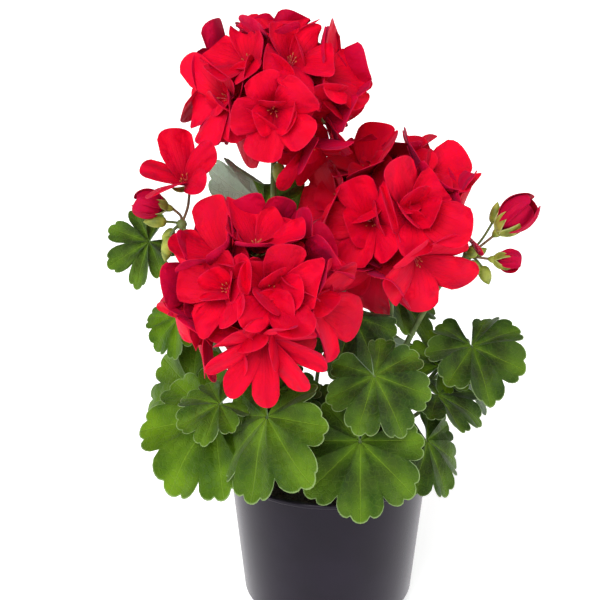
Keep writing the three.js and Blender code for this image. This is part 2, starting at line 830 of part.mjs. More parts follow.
addNode("pot", pot(), 0x2a2a30, 0.45);
addNode("soil", soil(), 0x3a2c22, 0.95);
for (const plan of leafyStems) {
  addNode(plan.name, leafyStem(plan), 0x3f7a2c, 0.6);
}
for (const head of headFlowers) {
  addNode(head.name, headPetals(head), 0xc8102a, 0.5);
}
for (const group of Object.values(budGroups)) {
  for (const entry of group.red) {
    addNode(entry.name, budPetals(group, entry), 0xb80d26, 0.5);
  }
}

export default plant;
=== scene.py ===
# Red geranium in a round nursery pot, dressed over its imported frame.
# Lengths are in millimetres and become metres when a piece is made. The front is towards -Y.
import math

import bpy
import numpy as np
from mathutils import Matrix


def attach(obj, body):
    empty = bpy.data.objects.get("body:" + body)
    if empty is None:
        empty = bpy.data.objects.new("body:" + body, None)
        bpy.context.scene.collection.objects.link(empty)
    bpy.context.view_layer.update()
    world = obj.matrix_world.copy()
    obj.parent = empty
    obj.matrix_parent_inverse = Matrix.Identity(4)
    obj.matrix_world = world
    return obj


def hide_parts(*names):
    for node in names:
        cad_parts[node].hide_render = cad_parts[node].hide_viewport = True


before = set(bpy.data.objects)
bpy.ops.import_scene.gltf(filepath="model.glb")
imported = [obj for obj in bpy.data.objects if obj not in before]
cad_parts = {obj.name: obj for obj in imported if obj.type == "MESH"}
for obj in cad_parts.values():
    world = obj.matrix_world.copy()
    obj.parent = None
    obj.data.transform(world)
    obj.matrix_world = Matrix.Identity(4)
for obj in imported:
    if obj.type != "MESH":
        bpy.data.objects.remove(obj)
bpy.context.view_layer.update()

# Nursery pot
# One thin pot of dark grey polypropylene, formed in a mould: a straight tapered wall under a narrow
# lip, a stepped heel, and drain slots cut through the lower corner. It carries the whole plant.
MM = 0.001
pot_outside = [[43, 0], [46.2, 3.2], [46.7, 4.4], [50, 10.2], [50.4, 11.6], [58.8, 91.9], [59.7, 92.5],
               [60, 93], [60, 94.3], [59.7, 94.8], [59.1, 95]]
pot_inside = [[57.7, 95], [57.3, 94.6], [57.1, 91], [48.9, 11.4], [45.6, 5.2], [41.6, 1.6]]
pot_sides = 120
drain_slots = 6
drain_slot = (20, 10, 6.4)
drain_slot_inner = 39.5


def unit(vectors):
    """The vectors with a length of one."""
    vectors = np.asarray(vectors, float)
    return vectors / np.linalg.norm(vectors, axis=-1, keepdims=True)


def grid_faces(rows, columns, closed=False):
    """Faces of a grid of points, row by row, which may close round on its last column."""
    places = np.arange(rows * columns).reshape(rows, columns)
    if closed:
        places = np.hstack([places, places[:, :1]])
    corners = [places[:-1, :-1], places[1:, :-1], places[1:, 1:], places[:-1, 1:]]
    return np.stack(corners, axis=-1).reshape(-1, 4)


def tube(line, radii, sides):
    """Points and faces of a round body along a line, closed at both ends."""
    line = np.asarray(line, float)
    ahead = unit(np.gradient(line, axis=0))
    start = [1, 0, 0] if abs(ahead[0][0]) < 0.8 else [0, 1, 0]
    side = unit(np.cross(ahead[0], start))
    angles = 2 * np.pi * np.arange(sides) / sides
    rings = []
    for middle, forward, radius in zip(line, ahead, radii):
        side = unit(side - forward * np.dot(side, forward))
        other = np.cross(forward, side)
        rings.append(middle + radius * (np.outer(np.cos(angles), side) + np.outer(np.sin(angles), other)))
    faces = grid_faces(len(line), sides, closed=True)[:, ::-1].tolist()
    faces.append(list(range(sides))[::-1])
    faces.append([(len(line) - 1) * sides + corner for corner in range(sides)])
    return np.concatenate(rings), faces


def turned(base, axis, profile, sides):
    """Body turned about an axis through base, from pairs of radius and distance along the axis."""
    profile = np.asarray(profile, float)
    return tube(np.asarray(base) + np.outer(profile[:, 1], unit(axis)), profile[:, 0], sides)


class Body:
    """Points and faces of one piece, gathered part by part, with marks for its finish."""

    def __init__(self):
        self.points = []
        self.faces = []
        self.finishes = []
        self.marks = {"along": [], "across": [], "under": [], "tint": []}
        self.count = 0

    def add(self, part, finish=0, **marks):
        """Adds points and faces, with the place of their finish in the piece's list."""
        points, faces = part
        self.points.append(points)
        self.faces += [[self.count + corner for corner in face] for face in faces]
        self.finishes += [finish] * len(faces)
        for name, values in self.marks.items():
            values.append(np.broadcast_to(marks.get(name, 0.0), len(points)))
        self.count += len(points)

    def make(self, name, nodes, finishes, crease=60):
        """The piece itself: it rides on the plant and stands for the nodes of the frame."""
        mesh = bpy.data.meshes.new(name)
        mesh.from_pydata((np.concatenate(self.points) * MM).tolist(), [], self.faces)
        for finish in finishes:
            mesh.materials.append(finish.material)
        mesh.polygons.foreach_set("material_index", self.finishes)
        for mark, values in self.marks.items():
            spots = mesh.attributes.new(mark, "FLOAT", "POINT")
            spots.data.foreach_set("value", np.concatenate(values).astype(np.float32))
        mesh.shade_smooth()
        mesh.set_sharp_from_angle(angle=math.radians(crease))
        mesh.validate()
        piece = bpy.data.objects.new(name, mesh)
        bpy.context.scene.collection.objects.link(piece)
        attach(piece, "root")
        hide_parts(*nodes)
        return piece


class Wire:
    """Output of a node in a finish, which takes the usual operators as a number does."""

    def __init__(self, finish, socket):
        self.finish = finish
        self.socket = socket

    def maths(self, operation, first, second=0.0):
        return self.finish.node("ShaderNodeMath", {"operation": operation}, {0: first, 1: second})

    def __add__(self, other):
        return self.maths("ADD", self, other)

    __radd__ = __add__

    def __sub__(self, other):
        return self.maths("SUBTRACT", self, other)

    def __rsub__(self, other):
        return self.maths("SUBTRACT", other, self)

    def __mul__(self, other):
        return self.maths("MULTIPLY", self, other)

    __rmul__ = __mul__

    def wave(self):
        return self.maths("SINE", self)

    def eased(self, low, high):
        """0 at low, 1 at high, and smooth between them."""
        ends = {"Value": self, "From Min": low, "From Max": high}
        return self.finish.node("ShaderNodeMapRange", {"interpolation_type": "SMOOTHSTEP"}, ends)


class Finish:
    """A material and the nodes that lead to its surface."""

    def __init__(self, name):
        self.material = bpy.data.materials.new(name)
        self.material.use_nodes = True
        self.tree = self.material.node_tree
        self.surface = self.tree.nodes["Principled BSDF"]

    def join(self, value, socket):
        if isinstance(value, Wire):
            self.tree.links.new(value.socket, socket)
        else:
            socket.default_value = value

    def node(self, kind, settings, values, output=0):
        made = self.tree.nodes.new(kind)
        for name, value in settings.items():
            setattr(made, name, value)
        for name, value in values.items():
            self.join(value, made.inputs[name])
        return Wire(self, made.outputs[output])

    def mark(self, name):
        """What the piece's points say under that name."""
        return self.node("ShaderNodeAttribute", {"attribute_name": name}, {}, "Fac")

    def place(self):
        """Position on the piece, in metres."""
        return self.node("ShaderNodeTexCoord", {}, {}, "Object")

    def grain(self, size, detail=2.0):
        """Soft uneven pattern between 0 and 1, with spots of about that size in millimetres."""
        values = {"Vector": self.place(), "Scale": 1 / (size * MM), "Detail": detail}
        return self.node("ShaderNodeTexNoise", {}, values)

    def blend(self, share, first, second):
        return self.node("ShaderNodeMix", {"data_type": "RGBA"}, {0: share, 6: first, 7: second}, 2)

    def relief(self, height, depth):
        """Normal of a surface whose height of 1 is that many millimetres."""
        return self.node("ShaderNodeBump", {}, {"Height": height, "Distance": depth * MM, "Strength": 1.0})

    def coat(self, **values):
        """Sets the surface's sockets, named with underscores for spaces."""
        for name, value in values.items():
            self.join(value, self.surface.inputs[name.replace("_", " ")])
        return self


def paint(red, green, blue):
    """Colour from the values of a swatch between 0 and 255."""
    shares = np.array([red, green, blue]) / 255
    linear = np.where(shares <= 0.04045, shares / 12.92, ((shares + 0.055) / 1.055) ** 2.4)
    return (*linear.tolist(), 1.0)


def pot_plastic():
    finish = Finish("pot plastic")
    cloud = finish.grain(30)
    speck = finish.grain(0.9, 3.0)
    colour = finish.blend(cloud.eased(0.3, 0.7), paint(16, 12, 22), paint(21, 16, 28))
    return finish.coat(
        Base_Color=colour,
        Roughness=0.3 + 0.12 * speck,
        Specular_IOR_Level=0.12,
        Specular_Tint=(0.94, 0.86, 1.0, 1.0),
        Coat_Weight=0.55,
        Coat_IOR=1.25,
        Coat_Roughness=0.22,
        Coat_Tint=(0.97, 0.93, 1.0, 1.0),
        Normal=finish.relief(speck, 0.05),
    )


def pot_shell():
    """The pot's wall and bottom, turned from the outline of its section."""
    profile = np.array(pot_outside + pot_inside, float)
    angles = 2 * np.pi * np.arange(pot_sides) / pot_sides
    ring = np.stack([np.cos(angles), np.sin(angles)], axis=-1)
    points = [np.hstack([radius * ring, np.full((pot_sides, 1), height)]) for radius, height in profile]
    faces = grid_faces(len(profile), pot_sides, closed=True)[:, ::-1].tolist()
    faces.append(list(range(pot_sides))[::-1])
    faces.append([(len(profile) - 1) * pot_sides + corner for corner in range(pot_sides)])
    return np.concatenate(points), faces


def cut_drain_slots(pot):
    """Cuts the slots out of the lower corner of the pot."""
    corners = np.array([[x, y, z] for x in (0, 1) for y in (-0.5, 0.5) for z in (-0.5, 0.5)])
    sides = [[0, 1, 3, 2], [4, 6, 7, 5], [0, 4, 5, 1], [2, 3, 7, 6], [0, 2, 6, 4], [1, 5, 7, 3]]
    slots = bpy.data.meshes.new("drain slots")
    points = []
    faces = []
    for i in range(drain_slots):
        turn = 2 * math.pi * (i + 0.5) / drain_slots
        box = corners * drain_slot + [drain_slot_inner, 0, 0]
        x = box[:, 0] * math.cos(turn) - box[:, 1] * math.sin(turn)
        y = box[:, 0] * math.sin(turn) + box[:, 1] * math.cos(turn)
        faces += [[len(points) + corner for corner in side] for side in sides]
        points += (np.stack([x, y, box[:, 2]], axis=-1) * MM).tolist()
    slots.from_pydata(points, [], faces)
    cutter = bpy.data.objects.new("drain slots", slots)
    bpy.context.scene.collection.objects.link(cutter)
    cut = pot.modifiers.new("drain slots", "BOOLEAN")
    cut.operation = "DIFFERENCE"
    cut.object = cutter
    bpy.context.view_layer.update()
    made = bpy.data.meshes.new_from_object(pot.evaluated_get(bpy.context.evaluated_depsgraph_get()))
    pot.modifiers.clear()
    pot.data = made
    bpy.data.objects.remove(cutter)


pot_body = Body()
pot_body.add(pot_shell())
cut_drain_slots(pot_body.make("pot_shell", ["pot"], [pot_plastic()], crease=30))

# Soil
# Dark moist potting soil of peat and bark crumbs, filled in to a little below the lip.
soil_top = 82
soil_radius = 56
soil_rows = 30
soil_sides = 72
soil_middle_ring = 0.6
soil_underside = [[56, 80], [50, 16], [47.2, 12], [44.2, 5.6], [40.6, 1.9], [soil_middle_ring, 1.9]]
soil_crumbs = 260
crumb_reach = 54
crumb_turn = 6.283


def make_draws(seed):
    """Repeatable draws between 0 and 1."""
    state = seed

    def draw():
        nonlocal state
        state = state * 16807 % 2147483647
        return state / 2147483647

    return draw


def spread(draw):
    """A draw between -1 and 1."""
    return 2 * draw() - 1


def soil_height(x, y):
    """Height of the soil's surface: a low mound with small bumps."""
    bumps = np.sin(0.9 * x) * np.cos(1.1 * y) + 0.6 * np.sin(1.7 * x + 2 * y) * np.cos(1.3 * x - y)
    return soil_top + 2.5 * (1 - (np.hypot(x, y) / soil_radius) ** 2) + 0.6 * bumps


def soil_fill():
    radii = np.linspace(soil_middle_ring, soil_radius, soil_rows)
    angles = 2 * np.pi * np.arange(soil_sides) / soil_sides
    x = np.outer(radii, np.cos(angles))
    y = np.outer(radii, np.sin(angles))
    top = np.stack([x, y, soil_height(x, y)], axis=-1)
    low = []
    for radius, height in soil_underside:
        ring = [radius * np.cos(angles), radius * np.sin(angles), np.full(soil_sides, height)]
        low.append(np.stack(ring, axis=-1))
    points = np.concatenate([top, low])
    faces = grid_faces(len(points), soil_sides, closed=True).tolist()
    faces.append(list(range(soil_sides)))
    faces.append([(len(points) - 1) * soil_sides + corner for corner in range(soil_sides)][::-1])
    return points.reshape(-1, 3), faces


def soil_earth():
    finish = Finish("potting soil")
    crumb = finish.grain(2.2, 4.0)
    lump = finish.grain(9)
    colour = finish.blend(crumb.eased(0.35, 0.65), paint(22, 16, 12), paint(58, 44, 34))
    return finish.coat(
        Base_Color=finish.blend(lump.eased(0.45, 0.7), colour, paint(40, 29, 21)),
        Roughness=0.95,
        Normal=finish.relief(crumb, 1.2),
    )


soil_body = Body()
soil_body.add(soil_fill())
crumb_draw = make_draws(611)
for _ in range(soil_crumbs):
    turn = crumb_turn * crumb_draw()
    reach = crumb_reach * math.sqrt(crumb_draw())
    spot = np.array([reach * math.cos(turn), reach * math.sin(turn)])
    size = 0.7 + 1.1 * crumb_draw()
    lean = [spread(crumb_draw), spread(crumb_draw), 0.8 * crumb_draw() + 0.1]
    base = np.append(spot, soil_height(*spot) - 0.2 * size)
    profile = [[0.3 * size, -size], [0.9 * size, -0.5 * size], [size, 0.3 * size], [0.4 * size, size]]
    soil_body.add(turned(base, lean, profile, 6))
soil_body.make("soil_fill", ["soil"], [soil_earth()], crease=50)

# Leafy stems
# Four living stems rooted in the soil, with round leaves of seven scalloped lobes on long stalks. All
# but the front one also carry a flower stalk, which ends in a head of thin stalks, and green buds.
head_top = np.array([-30, 5, 316])
head_left = np.array([-40, -62, 224])
head_right = np.array([34.5, 8, 242])
buds_left = np.array([-83, -20, 251])
buds_right = np.array([80, 12, 220])
heads = [head_top, head_left, head_right]
softness = 3
head_clear = 53
leaf_sweep = 160
leaf_foot = 0.035
leaf_lobes = 7
leaf_rows = 16
leaf_columns = 18 * leaf_lobes + 1
leaf_cell = 3.4
stem_radius = 3.8
flower_stalk_radius = 1.8
leaf_stalk_radius = 1.25
bud_stalk_radius = 0.8
throat_gap = 0.9
throat_half_width = 0.8
head_stalk = 28.5
petal_length = 31
sepal_drop = 2.2
head_knot = [[0.5, -3], [2.4, -1.8], [3, 0], [2.4, 1.8], [0.5, 3]]
bud_knot = [[0.5, -3.2], [2.4, -2], [3.2, 0], [2.4, 2], [0.5, 3.2]]
bud_swell = [[0.65, 0], [0.9, 0.12], [1, 0.35], [0.92, 0.55], [0.7, 0.75], [0.35, 0.9], [0.06, 1]]

stalk_top = [[-8, 26, 90], [-14, 22, 120], [-24, 17, 180], [-32, 9, 250], [-30, 5, 314]]
stalk_left = [[-24, -8, 90], [-30, -22, 130], [-38, -46, 178], [-40, -62, 222]]
stalk_right = [[26, -4, 90], [33, 2, 140], [36, 7, 190], [34.5, 8, 240]]
stalk_buds_left = [[-24, -8, 100], [-46, -8, 150], [-70, -8, 205], [-80, -15, 235], [-83, -20, 251]]
stalk_buds_right = [[26, -4, 100], [38, 2, 145], [44, 6, 163], [57, 12, 188], [68, 14, 206], [80, 12, 220]]


def facing(turn, rise):
    """Direction turned so many degrees to the right of the front, and so many above level."""
    turn, rise = math.radians(turn), math.radians(rise)
    return np.array([math.sin(turn) * math.cos(rise), -math.cos(turn) * math.cos(rise), math.sin(rise)])


def rotated(vectors, axis, angle):
    """The vectors turned about an axis, by an angle in radians."""
    along = np.multiply.outer(np.dot(vectors, axis), axis)
    return along + math.cos(angle) * (vectors - along) + math.sin(angle) * np.cross(axis, vectors)


def soft_floor(values, limit):
    """The values, eased so that they stay above a limit."""
    return limit + softness * np.logaddexp(0, (values - limit) / softness)


def curve_through(stops, steps):
    """Smooth line through the stops, with so many points from stop to stop."""
    stops = np.asarray(stops, float)
    stops = np.concatenate([[2 * stops[0] - stops[1]], stops, [2 * stops[-1] - stops[-2]]])
    line = []
    for before, start, end, after in zip(stops, stops[1:], stops[2:], stops[3:]):
        gaps = [math.sqrt(np.linalg.norm(b - a)) for a, b in ((before, start), (start, end), (end, after))]
        leave = (start - before) / gaps[0] - (end - before) / (gaps[0] + gaps[1]) + (end - start) / gaps[1]
        reach = (end - start) / gaps[1] - (after - start) / (gaps[1] + gaps[2]) + (after - end) / gaps[2]
        leave, reach = leave * gaps[1], reach * gaps[1]
        for t in np.linspace(0, 1, steps, endpoint=False):
            line.append(start + t * leave + t * t * (3 * (end - start) - 2 * leave - reach)
                        + t ** 3 * (2 * (start - end) + leave + reach))
    return np.array(line + [stops[-2]])


def bent(start, leave, reach, end, steps=18):
    """Line of one bend between two ends."""
    t = np.linspace(0, 1, steps)[:, None]
    return (1 - t) ** 3 * start + 3 * (1 - t) ** 2 * t * leave + 3 * (1 - t) * t * t * reach + t ** 3 * end


def blade(points, thickness):
    """Thin blade with a middle surface given as a grid, thickened to both sides."""
    rows, columns = points.shape[:2]
    normals = unit(np.cross(np.gradient(points, axis=0), np.gradient(points, axis=1)))
    half = normals * thickness[..., None] / 2
    corners = np.concatenate([(points + half).reshape(-1, 3), (points - half).reshape(-1, 3)])
    count = rows * columns
    face = grid_faces(rows, columns)
    places = np.arange(count).reshape(rows, columns)
    rim = np.concatenate([places[:, 0], places[-1, 1:], places[-2::-1, -1], places[0, -2:0:-1]])
    ahead = np.roll(rim, -1)
    wall = np.stack([rim, rim + count, ahead + count, ahead], axis=-1)
    return corners, np.concatenate([face, face[:, ::-1] + count, wall]).tolist()


def blade_grid(rows, columns):
    """Places along a blade, from its foot at 0, and across it, from edge to edge."""
    return np.meshgrid(np.linspace(0, 1, rows), np.linspace(-1, 1, columns), indexing="ij")


def both_faces(top, bottom):
    """Marks of a blade, for its upper and its lower face."""
    return np.concatenate([np.ravel(top), np.ravel(bottom)])


def leaf_shape(leaf, angle, share):
    """Reach and height of a leaf's surface at an angle from its tip, and the place in its lobe."""
    lobe = 2 * leaf_sweep / leaf_lobes
    place = 2 * (angle / lobe - np.round(angle / lobe))
    swing = np.radians(angle)
    forward = np.maximum(0, np.cos(swing))
    tooth = 2 * np.modf(1.5 * (place + 1))[0] - 1
    radius = leaf["size"] * (0.8 + 0.2 * np.cos(swing))
    radius = radius * (1 - leaf["notch"] * (1 - np.sqrt(1 - 0.96 * place ** 2)))
    radius = radius * (1.035 - 0.1 * (1 - np.sqrt(1 - 0.9 * tooth ** 2)))
    pucker = np.sin(5 * swing + 2 * leaf["phase"]) * np.sin(6 * share + leaf["phase"])
    height = leaf["size"] * (
        leaf["cup"] * share ** 2
        + leaf["fold"] * np.abs(np.sin(swing)) * share
        + 0.15 * np.abs(place) ** 1.4 * share
        + leaf["wave"] * share ** 2 * np.cos(3 * swing + leaf["phase"])
        - leaf["droop"] * (forward * share) ** 2
        + 0.035 * pucker * share
    )
    return radius * share, height, np.abs(place)


def clear_of_heads(points):
    """Leaves stay outside the flower heads."""
    for head in heads:
        away = points - head
        distance = np.linalg.norm(away, axis=-1, keepdims=True)
        pushed = head + away * soft_floor(distance, head_clear) / distance
        points = np.where(distance < head_clear + 4 * softness, pushed, points)
    return points


def point_on_stem(trunk, height):
    """Point in the middle of a stem, at that height."""
    above = next(i for i, stop in enumerate(trunk) if stop[2] >= height)
    low, high = np.array(trunk[above - 1], float), np.array(trunk[above], float)
    return low + (high - low) * (height - low[2]) / (high[2] - low[2])


def add_leaf(body, leaf, trunk):
    """One leaf on its stalk, which leaves the stem and meets the leaf from below."""
    hub = np.array(leaf["hub"], float)
    normal = facing(leaf["turn"], leaf["rise"])
    tip = rotated(unit(normal * normal[2] - [0, 0, 1]), normal, math.radians(leaf["spin"]))
    across = np.cross(normal, tip)
    shares = np.linspace(leaf_foot, 1, leaf_rows)
    angles = np.linspace(-leaf_sweep, leaf_sweep, leaf_columns)
    share, angle = np.meshgrid(shares, angles, indexing="ij")
    reach, height, place = leaf_shape(leaf, angle, share)
    swing = np.radians(angle)[..., None]
    outward = np.cos(swing) * tip + np.sin(swing) * across
    points = hub + reach[..., None] * outward + height[..., None] * normal
    thickness = 0.75 - 0.4 * share ** 4
    body.add(
        blade(clear_of_heads(points), thickness),
        along=both_faces(share, share),
        across=both_faces(place, place),
        under=both_faces(leaf["silver"] * (angle > 0), 0 * share + 0.45),
        tint=leaf["tint"],
    )
    start = point_on_stem(trunk, leaf["from"])
    out = (hub - start) * [0.25, 0.25, 0]
    below = hub - 16 * normal - 3 * tip
    line = bent(start, start + out + [0, 0, 16], below, hub - 0.1 * normal + 0.6 * tip)
    swell = np.interp(np.linspace(0, 1, len(line)), [0, 0.08, 0.9, 1], [1.5, 1, 0.95, 1.1])
    body.add(tube(line, leaf_stalk_radius * swell, 8), finish=1, along=0.5, tint=leaf["tint"])


def flower_places(head):
    """Foot, axis and petals of every flower of a head."""
    draw = make_draws(head["seed"])
    places = []
    for i, (turn, rise, inner, *rest) in enumerate(head["flowers"]):
        scale = rest[0] if rest else 1
        spin = rest[1] if len(rest) > 1 else 72 * draw()
        axis = facing(turn, rise)
        reach = head_stalk + 1.5 * spread(draw)
        places.append({
            "axis": axis, "foot": head["centre"] + reach * axis, "count": 5, "inner": inner, "spin": spin,
            "length": scale * (petal_length + 2 * spread(draw)), "width": 1.1, "start": 50, "end": 2,
            "loose": 12, "cup": 0.12, "twist": 0.14, "ruffle": 1.6, **head["own_shapes"].get(i, {}),
        })
    return places


# A flower is given by its turn and rise, the petals of its inner ring, and then, where it needs them, its
# scale and spin. Own shapes are what sets single flowers apart, by their place in the list.
head_flowers = {
    "top": {
        "centre": head_top,
        "seed": 4211,
        "flowers": [
            [-2, 6, 3], [-59, 9, 0], [-48, 50, 0], [25, 53, 0], [72, 32, 0], [79, -15, 0], [47, -41, 0],
            [0, 84, 0], [-114, 18, 0, 1, 54], [180, 20, 0], [122, 12, 0], [180, 60, 0],
        ],
        "own_shapes": {
            0: {"length": 28},
            2: {"length": 29, "end": -10},
            3: {"length": 29, "end": -10},
            11: {"length": 23},
        },
    },
    "left": {
        "centre": head_left,
        "seed": 977,
        "flowers": [
            [18, 28, 3, 1, 250], [-34, 27, 3, 1, 290], [8, -21, 3, 1.2, 90], [70, 3, 0], [0, 80, 0],
            [100, 38, 0], [-94, 17, 0], [-75, 55, 0], [-69, -24, 0], [150, 20, 0], [-150, 25, 0],
            [180, 55, 0], [160, -14, 0],
        ],
        "own_shapes": {
            2: {"count": 9, "inner": 0, "length": 34, "width": 0.5, "start": 44, "end": 0, "cup": -0.3},
        },
    },
    "right": {
        "centre": head_right,
        "seed": 3301,
        "flowers": [
            [-23, 18, 2], [21, 30, 3], [27, -21, 0], [-80, 66, 0], [90, 53, 0, 1.1], [-80, 25, 0, 1.1],
            [85, 10, 0, 1.15], [-24, -41, 0], [150, 20, 0], [-140, 20, 0], [180, 50, 0],
        ],
        "own_shapes": {},
    },
}

# A green bud is given by its foot and its tip, from the middle of its group, and its radius.
bud_groups = {
    "top": {"centre": head_top, "green": [[[1, -9, -35], [1.6, -10, -48], 3.6]], "red": []},
    "left": {
        "centre": buds_left,
        "green": [
            [[-9, -2, 2.4], [-21, -4, 3], 3.5], [[-6.7, -5, -6], [-9.5, -6, -20], 3.7],
            [[-5, 1, -4], [-11.5, 2, -10], 2.8], [[2, -2, -3], [5.5, -4, -9], 2.8],
        ],
        "red": [
            {"name": "petals_floret_left", "foot": [3.4, -4, 25], "axis": [-0.25, -0.5, 0.83], "spin": 10,
             "seed": 57, "length": 27, "width": 0.72, "start": 58, "end": 22, "cup": -0.4, "ruffle": 1.2,
             "twist": 0.3, "tint": 0.5, "cup_length": 5, "cup_radius": 2.1,
             "sepals": 3, "sepal_length": 11, "sepal_rise": -8},
            {"name": "petals_bud_left", "foot": [-10, -1, 10.8], "axis": [-0.93, -0.2, 0.31], "spin": 20,
             "seed": 91, "length": 17, "width": 1.2, "start": 22, "end": 138, "cup": 0.6, "ruffle": 0.3,
             "twist": 0.08, "tint": 0.1, "cup_length": 5, "cup_radius": 2.4,
             "sepals": 4, "sepal_length": 14, "sepal_rise": 22},
        ],
    },
    "right": {
        "centre": buds_right,
        "green": [
            [[14.4, 6, 18.3], [17, 8, 30], 3], [[1, -3, 1], [4.6, -5, 8.6], 3.6],
            [[5, 0, 0.6], [11, 0, 4.3], 2.5], [[1.7, -3, -3], [7.5, -4, -10.4], 3.2],
            [[8.6, -2, -6.7], [12.7, -3, -17], 3.8], [[-3, 2, 7], [-6, 3, 13], 2.4],
        ],
        "red": [
            {"name": "petals_bud_right", "foot": [18.4, 0, 15.9], "axis": [0.7, -0.05, 0.71], "spin": 0,
             "seed": 23, "length": 26, "width": 1.2, "start": 25, "end": 136, "cup": 0.8, "ruffle": 0.4,
             "twist": 0.08, "tint": 0.1, "cup_length": 5, "cup_radius": 2.8,
             "sepals": 5, "sepal_length": 20, "sepal_rise": 22},
            {"name": "petals_bud_right_small", "foot": [16.7, -3, -1.6], "axis": [0.99, -0.06, -0.1],
             "spin": 30, "seed": 67, "length": 14.5, "width": 1.2, "start": 20, "end": 136, "cup": 0.5,
             "ruffle": 0.3, "twist": 0.08, "tint": 0.1, "cup_length": 4, "cup_radius": 2.4,
             "sepals": 4, "sepal_length": 13, "sepal_rise": 22},
        ],
    },
}


def opening_flower(group, entry):
    """A flower that opens from a bud of the group."""
    return {**entry, "axis": unit(entry["axis"]), "foot": group["centre"] + entry["foot"], "count": 5,
            "inner": 0, "loose": 4}


def across_of(axis):
    """Level direction across an axis."""
    if abs(axis[2]) > 0.99:
        return np.array([1.0, 0, 0])
    return unit(np.cross(axis, [0, 0, 1]))


def add_head_stalks(body, head):
    """Thin stalks of one head, each widening into the green cup under its flower."""
    body.add(turned(head["centre"], [0, 0, 1], head_knot, 10), finish=1, along=0.5, tint=0.5)
    for place in flower_places(head):
        length = np.linalg.norm(place["foot"] - head["centre"]) - throat_gap
        profile = [[0.5, 0], [0.75, 1], [0.8, length - 8], [1.3, length - 6], [2.1, length - 1.5],
                   [1.6, length]]
        body.add(turned(head["centre"], place["axis"], profile, 8), finish=1, along=0.5, tint=0.6)
        foot = place["foot"] - sepal_drop * place["axis"]
        add_sepals(body, foot, place["axis"], count=5, length=8, rise=8, end=70)


def add_sepals(body, foot, axis, count, length, rise, end):
    """Pointed green sepals that bend up outside the petals."""
    for i in range(count):
        outward = rotated(across_of(axis), axis, 2 * math.pi * (i + 0.35) / count)
        shape = {"axis": axis, "foot": foot, "outward": outward, "half_ring": 1.2, "length": length,
                 "width": 1, "start": rise, "end": end, "cup": 0.4, "twist": 0, "ruffle": 0, "waves": 0,
                 "phase": 0}
        along, side = blade_grid(9, 5)
        half = 0.02 + 0.17 * np.sin(np.pi * np.minimum(1, 0.25 + 0.75 * along)) ** 0.8
        points = petal_points(shape, along, side * half, 0)
        body.add(blade(points, 0.7 - 0.4 * along), finish=2, along=both_faces(along, along),
                 across=both_faces(np.abs(side), np.abs(side)), under=both_faces(0 * along, 0 * along + 1))


def petal_points(petal, along_share, aside_share, overlap):
    """Points of a petal: bent outwards, as wide as its share of the ring and the overlap allow."""
    along = petal["length"] * along_share
    start = math.radians(petal["start"])
    bend = (math.radians(petal["end"]) - start) / petal["length"]
    rise = start + bend * along
    outwards = (np.sin(rise) - math.sin(start)) / bend
    upwards = -(np.cos(rise) - math.cos(start)) / bend
    share = outwards * math.tan(petal["half_ring"])
    room = share + overlap + throat_half_width
    wish = petal["width"] * petal["length"] * aside_share
    aside = room * np.tanh(wish / room)
    lift = petal["cup"] * aside ** 2 / petal["length"] + petal["twist"] * aside
    lift += petal["ruffle"] * along_share * np.sin(4 * aside_share * petal["waves"] + petal["phase"])
    sideways = np.cross(petal["axis"], petal["outward"])
    return (petal["foot"] + (outwards - lift * np.sin(rise))[..., None] * petal["outward"]
            + (upwards + lift * np.cos(rise))[..., None] * petal["axis"] + aside[..., None] * sideways)


def add_bud_stalks(body, group):
    """Stalks, green buds, and the cup and sepals round every opening flower of a bud group."""
    centre = group["centre"]
    body.add(turned(centre, [0, 0, 1], bud_knot, 10), finish=1, along=0.5, tint=0.9)
    for foot, tip, radius in group["green"]:
        axis = np.subtract(tip, foot)
        length = np.linalg.norm(axis)
        axis = axis / length
        middle = centre + 0.6 * np.array(foot) - 2.5 * axis
        line = curve_through([centre, middle, centre + foot], 6)
        body.add(tube(line, [bud_stalk_radius] * len(line), 6), finish=1, along=0.5, tint=0.8)
        profile = [[0.3, -1]] + [[radius * wide, length * high] for wide, high in bud_swell]
        body.add(turned(centre + foot, axis, profile, 12), finish=2, along=0.6, across=0.4, tint=0.9)
    for entry in group["red"]:
        bloom = opening_flower(group, entry)
        axis = bloom["axis"]
        base = bloom["foot"] - (throat_gap + entry["cup_length"]) * axis
        middle = centre + 0.6 * (base - centre) - 2.5 * axis
        line = curve_through([centre, middle, base], 8)
        body.add(tube(line, [bud_stalk_radius] * len(line), 8), finish=3, along=0.5, tint=0.5)
        deep = entry["cup_length"]
        wide = entry["cup_radius"]
        cup = [[0.5, -0.8], [0.8 * wide, 0.3 * deep], [wide, 0.7 * deep], [0.6 * wide, deep]]
        body.add(turned(base, axis, cup, 10), finish=2, along=0.4, across=0.4, tint=0.7)
        rise = entry["sepal_rise"]
        add_sepals(body, base + 0.6 * deep * axis, axis, entry["sepals"], entry["sepal_length"], rise,
                   rise + 85)


def leaf(hub, size, turn, rise, spin, height, tint=0.5, **shape):
    """A leaf: middle, size, the way it faces, the turn of its tip, its foot on the stem, and its green,
    whose darker tints are partly painted shade.
    """
    plain = {"hub": hub, "size": size, "turn": turn, "rise": rise, "spin": spin, "from": height,
             "tint": tint, "cup": -0.12, "fold": 0, "wave": 0.09, "phase": 0, "droop": 0.1, "notch": 0.26,
             "silver": 0}
    return {**plain, **shape}


